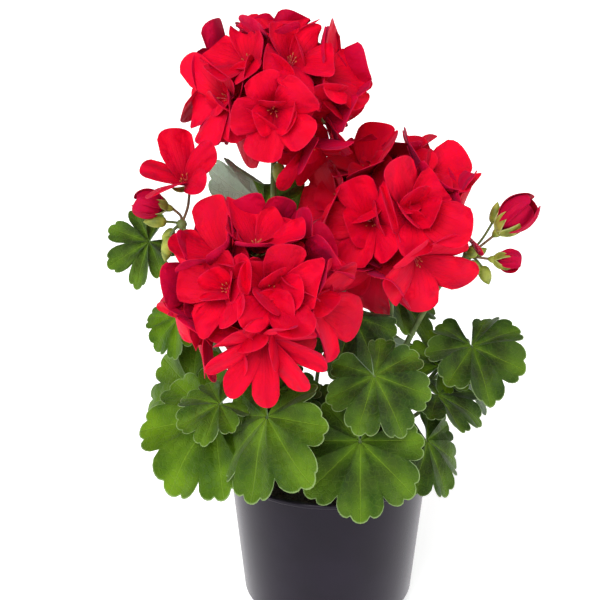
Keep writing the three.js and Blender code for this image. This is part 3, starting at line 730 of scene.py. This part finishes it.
leafy_stems = {
    "leafy_stem_front": {
        "trunk": [[2, -26, 46], [2, -26, 86], [3, -31, 106]],
        "leaves": [
            leaf([16.5, -66, 139], 44, 0, 32, 0, 98, 0.45, droop=0.08, phase=1),
            leaf([-2, -46, 142], 35, 5, 45, -50, 104, 0.3, phase=2),
        ],
    },
    "leafy_stem_left": {
        "trunk": [[-24, -8, 46], [-24, -8, 84], [-26, -12, 112]],
        "stalks": [stalk_left, stalk_buds_left],
        "head": "left",
        "leaves": [
            leaf([-35, -72, 157], 47, -52, 36, 16, 106, 0.6, fold=-0.12, phase=0.5),
            leaf([-65.5, -40, 142], 50, -28, 42, -22, 102, 0.85, phase=2.2),
            leaf([-79, -14, 146], 40, -42, 36, -62, 98, 0.75, phase=4),
            leaf([-62, -56, 157], 26, -20, 62, -50, 108, 0.6, phase=1),
            leaf([-30, -46, 160], 31, 5, 50, 10, 110, 0.3),
            leaf([-87, -2, 187], 25, -40, 35, -30, 104, 1, phase=2),
            leaf([-103, 0, 233], 29, -20, 30, -55, 107, 0.45, phase=1, fold=0.1, notch=0.62),
            leaf([-74, 30, 150], 34, -115, 40, 0, 100, 0.4, phase=3),
        ],
    },
    "leafy_stem_right": {
        "trunk": [[26, -4, 46], [26, -4, 84], [28, -2, 114]],
        "stalks": [stalk_right, stalk_buds_right],
        "head": "right",
        "leaves": [
            leaf([24, -59, 176], 36, 12, 38, 22, 108, 0.3, phase=2),
            leaf([56, -31, 122], 34, 52, 32, 0, 98, 0.3),
            leaf([65, 4, 153], 26, 10, 40, 140, 104, 0.75, phase=1),
            leaf([63, -10, 141], 30, 60, 70, 20, 102, 0.1, phase=4),
            leaf([84, 10, 163], 36, 8, 58, 10, 106, 0.25, fold=0.25, phase=2),
            leaf([13, -20, 196], 37, 24, 28, -28, 110, 0.1),
            leaf([40, 30, 186], 30, 60, 60, 0, 110, 0.3, phase=3),
            leaf([76, 40, 140], 38, 115, 38, 0, 100, 0.3, phase=5),
        ],
    },
    "leafy_stem_back": {
        "trunk": [[-8, 26, 46], [-8, 26, 84], [-10, 24, 116]],
        "stalks": [stalk_top],
        "head": "top",
        "leaves": [
            leaf([-38, 18, 249], 38, -10, -12, 196, 112, 0.55, fold=0.05, phase=1, silver=1),
            leaf([-26, 68, 150], 40, -165, 42, 0, 104, 0.4, phase=1),
            leaf([25, 72, 142], 40, 165, 42, 0, 102, 0.4, phase=3),
            leaf([0, 58, 188], 36, 180, 48, 0, 112, 0.4),
            leaf([-56, 42, 196], 34, -120, 40, 0, 113, 0.4, phase=4),
        ],
    },
}


def leaf_green():
    """Matt green leaf: pale veins that fan from the stalk, a thin pale rim, a silvery underside."""
    finish = Finish("leaf green")
    along = finish.mark("along")
    across = finish.mark("across")
    under = finish.mark("under")
    tint = finish.mark("tint")
    cloud = finish.grain(20)
    fleck = finish.grain(1.4, 3.0)
    bulge = finish.grain(7)
    cells = {"Vector": finish.place(), "Scale": 1 / (leaf_cell * MM)}
    cell = finish.node("ShaderNodeTexVoronoi", {"feature": "DISTANCE_TO_EDGE"}, cells, "Distance")
    net = 1 - cell.eased(0, 0.1)
    dark = finish.blend(cloud.eased(0.25, 0.75), paint(32, 52, 18), paint(60, 82, 36))
    bright = finish.blend(cloud.eased(0.25, 0.75), paint(44, 78, 0), paint(94, 128, 0))
    # Each leaf's tint sets its green between a darker and a brighter mix: partly the leaf's own colour,
    # partly painted shade on the leaves under the flower heads.
    colour = finish.blend(tint, dark, bright)
    colour = finish.blend((1 - across.eased(0, 0.6)) * 0.3, colour, paint(106, 142, 20))
    colour = finish.blend(across.eased(0.5, 1) * 0.35, colour, paint(24, 46, 6))
    colour = finish.blend((1 - along.eased(0.05, 0.3)) * 0.35, colour, paint(120, 158, 30))
    zone = along.eased(0.3, 0.5) * (1 - along.eased(0.55, 0.78)) * 0.7 * (1 - tint)
    colour = finish.blend(zone, colour, paint(32, 34, 18))
    main_vein = 1 - (across * along + 0.016 * along).eased(0.012, 0.045)
    branch = ((along - 0.42 * across) * 34).wave().eased(0.93, 1) * across.eased(0.02, 0.1)
    branch = branch * (1 - across.eased(0.75, 0.95)) * along.eased(0.2, 0.4)
    veins = main_vein + 0.22 * branch
    colour = finish.blend(veins.eased(0, 1) * 0.4, colour, paint(120, 152, 40))
    colour = finish.blend(net * 0.1, colour, paint(110, 140, 40))
    colour = finish.blend(fleck.eased(0.62, 0.8) * 0.12, colour, paint(126, 150, 60))
    silver = finish.blend(veins.eased(0, 1), paint(164, 182, 162), paint(194, 208, 186))
    colour = finish.blend(under, colour, silver)
    colour = finish.blend(along.eased(0.975, 0.995) * 0.55, colour, paint(150, 172, 116))
    height = fleck * 0.1 - veins * 0.3 - net * 0.18 + bulge * 1.6 + across * along * 2.6
    return finish.coat(
        Base_Color=colour,
        Roughness=0.36 + 0.2 * fleck,
        Specular_IOR_Level=0.08,
        Sheen_Weight=0.06,
        Sheen_Roughness=0.5,
        Sheen_Tint=(0.85, 1.0, 0.75, 1.0),
        Subsurface_Weight=0.08,
        Subsurface_Radius=(0.4, 1.0, 0.1),
        Subsurface_Scale=MM,
        Normal=finish.relief(height, 1),
    )


def stalk_green(name, low, high):
    """Green or brownish stalk with a fine long grain and a soft sheen."""
    finish = Finish(name)
    cloud = finish.grain(9)
    fleck = finish.grain(1.1, 3.0)
    colour = finish.blend(cloud.eased(0.3, 0.7), low, high)
    return finish.coat(
        Base_Color=finish.blend(fleck.eased(0.6, 0.85) * 0.3, colour, paint(186, 200, 150)),
        Roughness=0.5,
        Specular_IOR_Level=0.35,
        Subsurface_Weight=0.1,
        Subsurface_Radius=(0.4, 1.0, 0.1),
        Subsurface_Scale=MM,
        Normal=finish.relief(fleck, 0.15),
    )


def sepal_green():
    """Yellow green sepals and buds with a pale edge and a brown line along their middle."""
    finish = Finish("sepal green")
    along = finish.mark("along")
    across = finish.mark("across")
    cloud = finish.grain(5)
    colour = finish.blend(cloud.eased(0.3, 0.7), paint(104, 118, 36), paint(158, 166, 66))
    middle = (1 - across.eased(0.05, 0.3)) * along.eased(0.3, 0.6)
    colour = finish.blend(middle * 0.5, colour, paint(120, 60, 40))
    return finish.coat(
        Base_Color=finish.blend(across.eased(0.75, 1) * 0.6, colour, paint(190, 200, 130)),
        Roughness=0.5,
        Specular_IOR_Level=0.35,
        Subsurface_Weight=0.1,
        Subsurface_Radius=(0.4, 1.0, 0.1),
        Subsurface_Scale=MM,
    )


green_finishes = [
    leaf_green(),
    stalk_green("stalk green", paint(72, 92, 44), paint(118, 134, 76)),
    sepal_green(),
    stalk_green("stalk brown", paint(92, 66, 48), paint(128, 100, 70)),
]
for name, plan in leafy_stems.items():
    green = Body()
    line = curve_through(plan["trunk"], 8)
    green.add(tube(line, [stem_radius] * len(line), 14), finish=1, along=0.5, tint=0.4)
    for stops in plan.get("stalks", []):
        line = curve_through(stops, 8)
        swell = np.interp(np.linspace(0, 1, len(line)), [0, 0.1, 0.9, 1], [1.35, 1, 0.95, 1.1])
        green.add(tube(line, flower_stalk_radius * swell, 12), finish=1, along=0.5, tint=0.6)
    if "head" in plan:
        add_head_stalks(green, head_flowers[plan["head"]])
        add_bud_stalks(green, bud_groups[plan["head"]])
    for entry in plan["leaves"]:
        add_leaf(green, entry, plan["trunk"])
    green.make(name.replace("leafy_stem", "stem_with_leaves"), [name], green_finishes)

# Petals of the heads
# Five broad soft red petals to most flowers, grown together at the throat round a few pale stamens, and
# a smaller upright ring in the fuller ones. The flowers of a head press each other aside.
flower_gap = 0.7
flower_lean = 12
head_gap = 1.2
stalk_gap = 0.9
opening_bud_gap = 3
petal_reach = 45
petal_fullness = 1.16
petal_breadth = 1.12
petal_looseness = 1.9
petal_ruffle = 2.1
petal_overlap = 1.5
petal_rows = 15
petal_columns = 13
hidden_blooms = 11
hidden_reach = 19
hidden_shape = {"length": 27, "start": 42, "end": 6, "loose": 16, "ruffle": 2}
golden_angle = 137.5
stamen_count = 6
filament_radii = [0.22, 0.2, 0.2, 0.18, 0.18]
anther_profile = [[0.1, -0.8], [0.36, -0.4], [0.36, 0.4], [0.1, 0.8]]


def keep_beside(points, origin, away, limit):
    """Points on the side away of a plane: the petal bends up before it."""
    reach = (points - origin) @ away
    push = np.where(reach < limit + 4 * softness, soft_floor(reach, limit) - reach, 0)
    return points + push[..., None] * away


def along_stalk(stops, radius):
    """The straight lengths between the stops of a stalk, each with its radius."""
    stops = np.asarray(stops, float)
    return [(start, end, radius) for start, end in zip(stops, stops[1:])]


def petal_obstacles():
    """Stalks and buds that the petals bend round, as pairs of ends with a radius."""
    found = []
    for stops in (stalk_top, stalk_left, stalk_right, stalk_buds_left, stalk_buds_right):
        found += along_stalk(stops, flower_stalk_radius + stalk_gap)
    for group in bud_groups.values():
        centre = group["centre"]
        for foot, tip, radius in group["green"]:
            found += along_stalk([centre, centre + foot], bud_stalk_radius + stalk_gap)
            found += along_stalk([centre + foot, centre + tip], radius + stalk_gap)
        for entry in group["red"]:
            found += along_stalk([centre, centre + entry["foot"]], opening_bud_gap)
    return found


obstacles = petal_obstacles()


def clear_of_stalks(points):
    middle = points.reshape(-1, 3).mean(axis=0)
    for start, end, radius in obstacles:
        share = np.clip(np.dot(middle - start, end - start) / np.dot(end - start, end - start), 0, 1)
        near = start + share * (end - start)
        away = middle - near
        if np.linalg.norm(away) < petal_reach:
            points = keep_beside(points, near, unit(away), radius)
    return points


def clear_of_other_heads(points, own):
    for other in heads:
        if other is not own:
            points = keep_beside(points, (own + other) / 2, unit(own - other), head_gap)
    return points


def petal_ring(ring, draw, bend_clear):
    """Middle surfaces of a ring of petals, one grid to a petal, and their marks."""
    axis = ring["axis"]
    half_ring = math.pi / ring["count"]
    along, side = blade_grid(petal_rows, petal_columns)
    along_share = along * (0.6 + 0.4 * (1 - np.abs(side) ** 2.3) ** 0.5)
    half = 0.06 + 0.36 * np.sin(np.pi / 2 * np.minimum(1, along * 1.25)) ** 1.1
    grids = []
    for i in range(ring["count"]):
        outward = rotated(across_of(axis), axis, math.radians(ring["spin"]) + 2 * half_ring * i)
        petal = {
            **ring,
            "outward": outward,
            "half_ring": half_ring,
            "length": petal_fullness * ring["length"] * (1 + 0.09 * spread(draw)),
            "width": petal_breadth * ring["width"] * (1 + 0.1 * spread(draw)),
            "end": ring["end"] + petal_looseness * ring["loose"] * spread(draw),
            "cup": ring["cup"] + 0.3 * spread(draw),
            "ruffle": petal_ruffle * ring["ruffle"] * (0.6 + 0.8 * draw()),
            "waves": 0.8 + 0.5 * draw(),
            "phase": 6.28 * draw(),
        }
        grids.append(petal_points(petal, along_share, side * half, petal_overlap))
    return bend_clear(np.array(grids)), along, side


def add_flower(body, bloom, draw, bend_clear, tints):
    """One flower: its petals, an inner ring if it is full, and its stamens."""
    rings = [bloom]
    if bloom["inner"]:
        rings.append({
            **bloom, "count": bloom["inner"], "length": 0.62 * bloom["length"], "start": 60, "end": 66,
            "loose": 5, "twist": 0.05, "cup": 0, "ruffle": 0.8, "spin": bloom["spin"] + 30,
        })
    for ring in rings:
        grids, along, side = petal_ring(ring, draw, bend_clear)
        for grid in grids:
            add_petal(body, grid, along, side, tints())
    add_stamens(body, bloom, draw)


def add_petal(body, grid, along, side, tint):
    body.add(
        blade(grid, 0.6 - 0.3 * along ** 2),
        along=both_faces(along, along),
        across=both_faces(side, side),
        under=both_faces(0 * along, 0 * along + 1),
        tint=tint,
    )


def add_stamens(body, bloom, draw):
    """Pale filaments with orange tips, in a small tuft at the throat."""
    axis = bloom["axis"]
    for i in range(stamen_count):
        outward = rotated(across_of(axis), axis, 2 * math.pi * (i + 0.4 * spread(draw)) / stamen_count)
        lean = 0.25 + 0.25 * draw()
        length = (5.5 + 2.5 * draw()) * bloom["length"] / petal_length
        foot = bloom["foot"] + 0.8 * outward
        tip = bloom["foot"] + length * (axis + lean * outward)
        line = bent(foot, foot + 0.4 * length * axis, tip - 0.3 * length * axis, tip, len(filament_radii))
        body.add(tube(line, filament_radii, 5), finish=1)
        body.add(turned(tip, axis + 0.8 * outward, anther_profile, 6), finish=2)


def leaning_pairs(blooms):
    """Pairs of flowers that lean into each other: the nearest pairs that join the whole head."""
    joined = [0]
    pairs = set()
    while len(joined) < len(blooms):
        options = [(blooms[i]["axis"] @ blooms[j]["axis"], -i, j)
                   for i in range(len(blooms)) if i not in joined for j in joined]
        _, minus_i, j = max(options)
        pairs |= {(-minus_i, j), (j, -minus_i)}
        joined.append(-minus_i)
    return pairs


def clear_of_neighbours(points, head, blooms, leaning, own):
    """Petals of one flower, kept from the other heads, the stalks and the other flowers of its head."""
    points = clear_of_other_heads(points, head["centre"])
    points = clear_of_stalks(points)
    for j, other in enumerate(blooms):
        if j != own:
            away = blooms[own]["axis"] - other["axis"]
            width = np.linalg.norm(away)
            limit = -flower_lean * width ** 5 if (own, j) in leaning else flower_gap
            points = keep_beside(points, head["centre"], away / width, limit)
    return points


def add_head(body, head):
    """The flowers of a head, and looser ones inside that fill it up."""
    draw = make_draws(head["seed"] + 1)
    tints = make_draws(head["seed"] + 2)
    blooms = flower_places(head)
    leaning = leaning_pairs(blooms)
    for i, bloom in enumerate(blooms):
        add_flower(
            body, bloom, draw,
            lambda points: clear_of_neighbours(points, head, blooms, leaning, i),
            lambda: 0.35 + 0.65 * tints(),
        )
    for i in range(hidden_blooms):
        rise = math.degrees(math.asin(0.95 - 1.55 * i / hidden_blooms))
        axis = facing(golden_angle * i + 20, rise)
        foot = head["centre"] + hidden_reach * axis
        bloom = {**blooms[0], **hidden_shape, "axis": axis, "foot": foot, "spin": 50 * i}
        grids, along, side = petal_ring(bloom, draw, clear_of_stalks)
        for grid in grids:
            # Painted shade: the petals inside the head take a darker red tint, 0.3 to 0.7 against 0.35 to
            # 1 for the outer flowers.
            add_petal(body, grid, along, side, 0.3 + 0.4 * tints())


def petal_red():
    """Velvety red petal: painted shade that darkens it towards the throat and in bands along its folds,
    fine long veins, and a thin lighter edge that is a painted highlight.
    """
    finish = Finish("petal red")
    along = finish.mark("along")
    across = finish.mark("across")
    under = finish.mark("under")
    tint = finish.mark("tint")
    cloud = finish.grain(11)
    fleck = finish.grain(1.2, 3.0)
    fold = (across * 6 + cloud * 5).wave()
    colour = finish.blend(tint, paint(182, 0, 30), paint(236, 0, 42))
    colour = finish.blend(cloud.eased(0.35, 0.7) * 0.45, colour, paint(186, 0, 46))
    # Painted shade: darker red bands that follow the waves of the petal's folds.
    colour = finish.blend(fold.eased(-1, 1) * 0.25, colour, paint(164, 0, 30))
    # Painted shade: the petal grows darker towards the throat, where the flower closes in.
    colour = finish.blend((1 - along.eased(0.05, 0.55)) * 0.6, colour, paint(136, 0, 22))
    streak = (across * 30 + cloud * 3).wave().eased(0.7, 1) * along.eased(0.05, 0.2)
    streak = streak * (1 - along.eased(0.5, 0.85))
    colour = finish.blend(streak * 0.08, colour, paint(120, 0, 24))
    colour = finish.blend(under * 0.55, colour, paint(172, 6, 62))
    # Painted highlight: a pale pink rim along the petal's sides and tip, standing in for its sheen.
    edge = (across * across).eased(0.9, 1) + along.eased(0.96, 1)
    colour = finish.blend(edge.eased(0, 1) * 0.12, colour, paint(226, 50, 90))
    return finish.coat(
        Base_Color=colour,
        Roughness=0.6 + 0.15 * fleck,
        Specular_IOR_Level=0.14,
        Specular_Tint=(1.0, 0.5, 0.65, 1.0),
        Sheen_Weight=0.1,
        Sheen_Roughness=0.4,
        Sheen_Tint=(1.0, 0.1, 0.4, 1.0),
        Subsurface_Weight=0.25,
        Subsurface_Radius=(1.0, 0.05, 0.1),
        Subsurface_Scale=MM,
        Normal=finish.relief(fleck * 0.08 - streak * 0.1 + fold * along * 0.9 + cloud * 1.5, 1),
    )


def plain_finish(name, low, high, roughness):
    """Small soft parts: two close colours and a fine grain."""
    finish = Finish(name)
    fleck = finish.grain(0.6)
    return finish.coat(Base_Color=finish.blend(fleck.eased(0.3, 0.7), low, high), Roughness=roughness)


petal_finishes = [
    petal_red(),
    plain_finish("filament", paint(190, 40, 60), paint(232, 130, 130), 0.5),
    plain_finish("anther", paint(170, 70, 40), paint(206, 120, 66), 0.6),
]
for name, head in head_flowers.items():
    red = Body()
    add_head(red, head)
    red.make(f"flowers_head_{name}", [f"petals_head_{name}"], petal_finishes, crease=75)

# Opening buds
# Young flowers of the left and right groups: the same red petals, still rolled together or half open,
# each standing in its green cup.
for group in bud_groups.values():
    for entry in group["red"]:
        red = Body()
        draw = make_draws(entry["seed"])
        bloom = opening_flower(group, entry)
        add_flower(red, bloom, draw, lambda points: points, lambda: entry["tint"])
        piece = entry["name"].replace("petals", "young_flower")
        red.make(piece, [entry["name"]], petal_finishes, crease=75)

# Studio
# Plain pale floor without an edge in view, soft light from all round, a large soft light from the upper
# left with weaker ones from both sides, and a camera that looks down on the plant. Lengths are in metres.
floor_half = 6
floor_glow = 0.62
room_light = 0.3
camera_drop = 22.5

floor_corners = [[x * floor_half, y * floor_half, 0] for x, y in ((-1, -1), (1, -1), (1, 1), (-1, 1))]
floor_mesh = bpy.data.meshes.new("floor")
floor_mesh.from_pydata(floor_corners, [], [[0, 1, 2, 3]])
floor_finish = Finish("pale floor")
floor_finish.coat(
    Base_Color=(0.92, 0.92, 0.92, 1.0),
    Roughness=0.9,
    Emission_Color=(1.0, 1.0, 1.0, 1.0),
    Emission_Strength=floor_glow,
)
floor_mesh.materials.append(floor_finish.material)
floor = bpy.data.objects.new("floor", floor_mesh)
bpy.context.scene.collection.objects.link(floor)

world = bpy.data.worlds.new("studio")
bpy.context.scene.world = world
world.use_nodes = True
background = world.node_tree.nodes["Background"]
background.inputs["Color"].default_value = (1.0, 1.0, 1.0, 1.0)
background.inputs["Strength"].default_value = room_light


def soft_light(name, turn, rise, width, strength):
    """Large soft light far away, turned to the right of the front and raised above level."""
    light = bpy.data.lights.new(name, "SUN")
    light.angle = math.radians(width)
    light.energy = strength
    lamp = bpy.data.objects.new(name, light)
    lamp.rotation_euler = (math.radians(90 - rise), 0, math.radians(turn))
    bpy.context.scene.collection.objects.link(lamp)


soft_light("key", -22, 42, 42, 3.0)
soft_light("fill", 75, 18, 50, 0.9)
soft_light("side", -70, 10, 60, 0.5)

camera = bpy.data.cameras.new("camera")
camera.lens = 120
camera.sensor_width = 36
eye = bpy.data.objects.new("camera", camera)
eye.location = (-0.017, -1.067, 0.639)
eye.rotation_euler = (math.radians(90 - camera_drop), 0, 0)
bpy.context.scene.collection.objects.link(eye)
bpy.context.scene.camera = eye
bpy.context.scene.view_settings.view_transform = "Standard"
